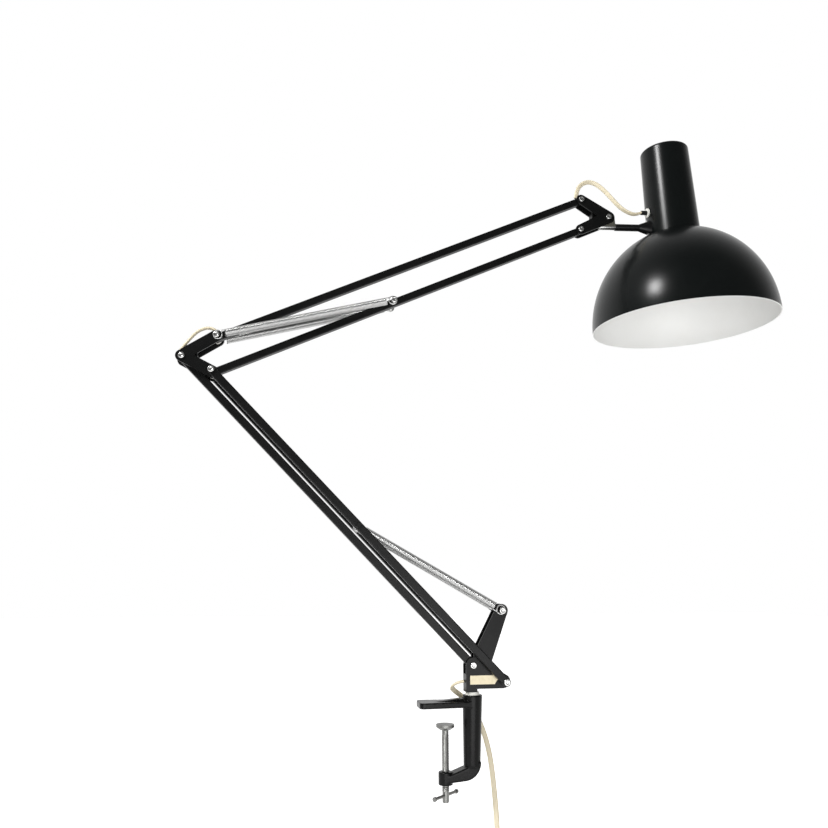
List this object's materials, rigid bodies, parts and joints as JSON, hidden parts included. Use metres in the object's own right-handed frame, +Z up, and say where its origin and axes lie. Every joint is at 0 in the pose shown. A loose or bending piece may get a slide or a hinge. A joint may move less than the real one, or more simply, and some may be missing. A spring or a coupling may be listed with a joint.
{
  "type": "desk lamp",
  "caption": "balanced-arm desk lamp on a table clamp: spring-loaded parallelogram arms of square tube, a tilting neck, a tall lampholder housing and a domed shade",
  "frame": {"origin": "on the underside of the top jaw, the face that rests on the table, on the axis of the clamp screw", "axes": "+Z up, +X to the side the head is on, the arms move in the XZ plane, -Y towards the viewer of the picture"},
  "size_m": [0.6776, 0.2114, 0.8912],
  "materials": {
    "black_enamel": "semi-gloss black enamel",
    "cast_black": "glossy black enamel on a casting, worn at the edges",
    "shade_enamel": "semi-gloss black enamel outside, white inside",
    "bright_steel": "bright zinc-plated steel",
    "spring_steel": "bright drawn spring wire",
    "grey_steel": "dull plain steel",
    "knuckle_metal": "olive-grey metal with a black edge",
    "white_nylon": "plain white nylon",
    "black_plastic": "moulded black plastic",
    "ivory_plastic": "moulded ivory plastic",
    "ivory_flex": "smooth ivory sheath",
    "cream_plate": "bare cream plate",
    "pin_brass": "nickel-washed brass pins",
    "cap_aluminium": "plain screw cap",
    "bulb_glass": "opal glass"
  },
  "bodies": {
    "clamp": {"clamp_body": "cast_black", "collar_bush": "white_nylon", "mains_lead": "ivory_flex", "cord_coil": "ivory_flex", "cord_tie": "black_plastic", "plug_lead": "ivory_flex", "plug_body": "ivory_plastic", "plug_pins": "pin_brass"},
    "pad": {"pressure_pad": "grey_steel"},
    "screw": {"clamp_screw": "grey_steel"},
    "tommy": {"tommy_bar": "grey_steel"},
    "base": {"base_bracket": "black_enamel", "swivel_post": "grey_steel", "name_plate": "cream_plate", "rear_pivot_rivet": "bright_steel", "front_pivot_rivet": "bright_steel", "horn_spring_pin": "bright_steel", "base_front_spacers": "white_nylon", "lower_spring_near": "spring_steel", "lower_spring_far": "spring_steel"},
    "rear_arm": {"rear_bar": "black_enamel", "rear_bar_flex": "ivory_flex"},
    "front_arm": {"front_bar_near": "black_enamel", "front_bar_far": "black_enamel", "front_cross_pin": "bright_steel"},
    "elbow": {"elbow_bracket": "black_enamel", "elbow_rear_rivet": "bright_steel", "elbow_front_rivet": "bright_steel", "elbow_spring_pin": "bright_steel", "elbow_rear_spacers": "white_nylon", "elbow_front_spacers": "white_nylon", "elbow_top_spacers": "white_nylon", "upper_spring_near": "spring_steel", "upper_spring_far": "spring_steel", "elbow_cord": "ivory_flex"},
    "top_arm": {"top_bar": "black_enamel", "top_bar_flex": "ivory_flex"},
    "lower_arm": {"lower_bar": "black_enamel", "bar_spring_pin": "bright_steel"},
    "head_plate": {"head_bracket": "black_enamel", "head_top_rivet": "bright_steel", "head_low_rivet": "bright_steel", "tilt_screw": "bright_steel", "head_cord": "ivory_flex"},
    "knuckle_body": {"knuckle": "knuckle_metal", "neck_rod": "grey_steel"},
    "head": {"neck": "black_plastic", "neck_screws": "bright_steel", "socket_housing": "shade_enamel", "shade": "shade_enamel", "holder_strap": "grey_steel", "lampholder": "black_plastic", "bulb_cap": "cap_aluminium", "bulb_glass": "bulb_glass", "cord_grommet": "white_nylon", "cord_sleeve": "black_plastic"}
  },
  "joints": [
    {"name": "base_swivel", "type": "hinge", "parent": "clamp", "child": "base", "pos_m": [0.028, 0, 0.011], "axis": [0, 0, 1], "range_deg": [-170, 170], "deforming": ["mains_lead"]},
    {"name": "lower_arm_tilt", "type": "hinge", "parent": "base", "child": "rear_arm", "pos_m": [0.028, 0, 0.0395], "axis": [0, 1, 0], "range_deg": [-5, 34], "deforming": ["lower_spring_near", "lower_spring_far", "elbow_cord"]},
    {"name": "front_arm_tilt", "type": "hinge", "parent": "base", "child": "front_arm", "pos_m": [0.05903, 0, 0.02396], "axis": [0, 1, 0], "range_deg": [-5, 34]},
    {"name": "elbow_level", "type": "hinge", "parent": "rear_arm", "child": "elbow", "pos_m": [-0.27318, 0, 0.3464], "axis": [0, 1, 0], "range_deg": [-34, 5]},
    {"name": "upper_arm_tilt", "type": "hinge", "parent": "elbow", "child": "top_arm", "pos_m": [-0.23953, 0, 0.36928], "axis": [0, 1, 0], "range_deg": [-40, 40], "deforming": ["upper_spring_near", "upper_spring_far", "elbow_cord"]},
    {"name": "lower_bar_tilt", "type": "hinge", "parent": "elbow", "child": "lower_arm", "pos_m": [-0.24215, 0, 0.33087], "axis": [0, 1, 0], "range_deg": [-40, 40]},
    {"name": "head_level", "type": "hinge", "parent": "top_arm", "child": "head_plate", "pos_m": [0.16841, 0, 0.56159], "axis": [0, 1, 0], "range_deg": [-40, 40]},
    {"name": "head_tilt", "type": "hinge", "parent": "head_plate", "child": "knuckle_body", "pos_m": [0.20133, 0, 0.54181], "axis": [0, 1, 0], "range_deg": [-60, 20], "deforming": ["head_cord"]},
    {"name": "head_turn", "type": "hinge", "parent": "knuckle_body", "child": "head", "pos_m": [0.20193, 0, 0.53153], "axis": [0.9983, 0, 0.0586], "range_deg": [-90, 90], "deforming": ["head_cord"]},
    {"name": "pad_slide", "type": "slide", "parent": "clamp", "child": "pad", "axis": [0, 0, 1], "range_m": [-0.036, 0.007]},
    {"name": "screw_turn", "type": "hinge", "parent": "pad", "child": "screw", "pos_m": [0, 0, -0.021], "axis": [0, 0, 1], "range_deg": [-8641, 1681]},
    {"name": "tommy_slide", "type": "slide", "parent": "screw", "child": "tommy", "axis": [0.7314, 0.682, 0], "range_m": [-0.013, 0.013]}
  ],
  "couplings": [
    {"joint": "front_arm_tilt", "follows": "lower_arm_tilt", "ratio": 1},
    {"joint": "elbow_level", "follows": "lower_arm_tilt", "ratio": -1},
    {"joint": "lower_bar_tilt", "follows": "upper_arm_tilt", "ratio": 1},
    {"joint": "head_level", "follows": "upper_arm_tilt", "ratio": -1},
    {"joint": "screw_turn", "follows": "pad_slide", "rad_per_m": 4188.8}
  ]
}
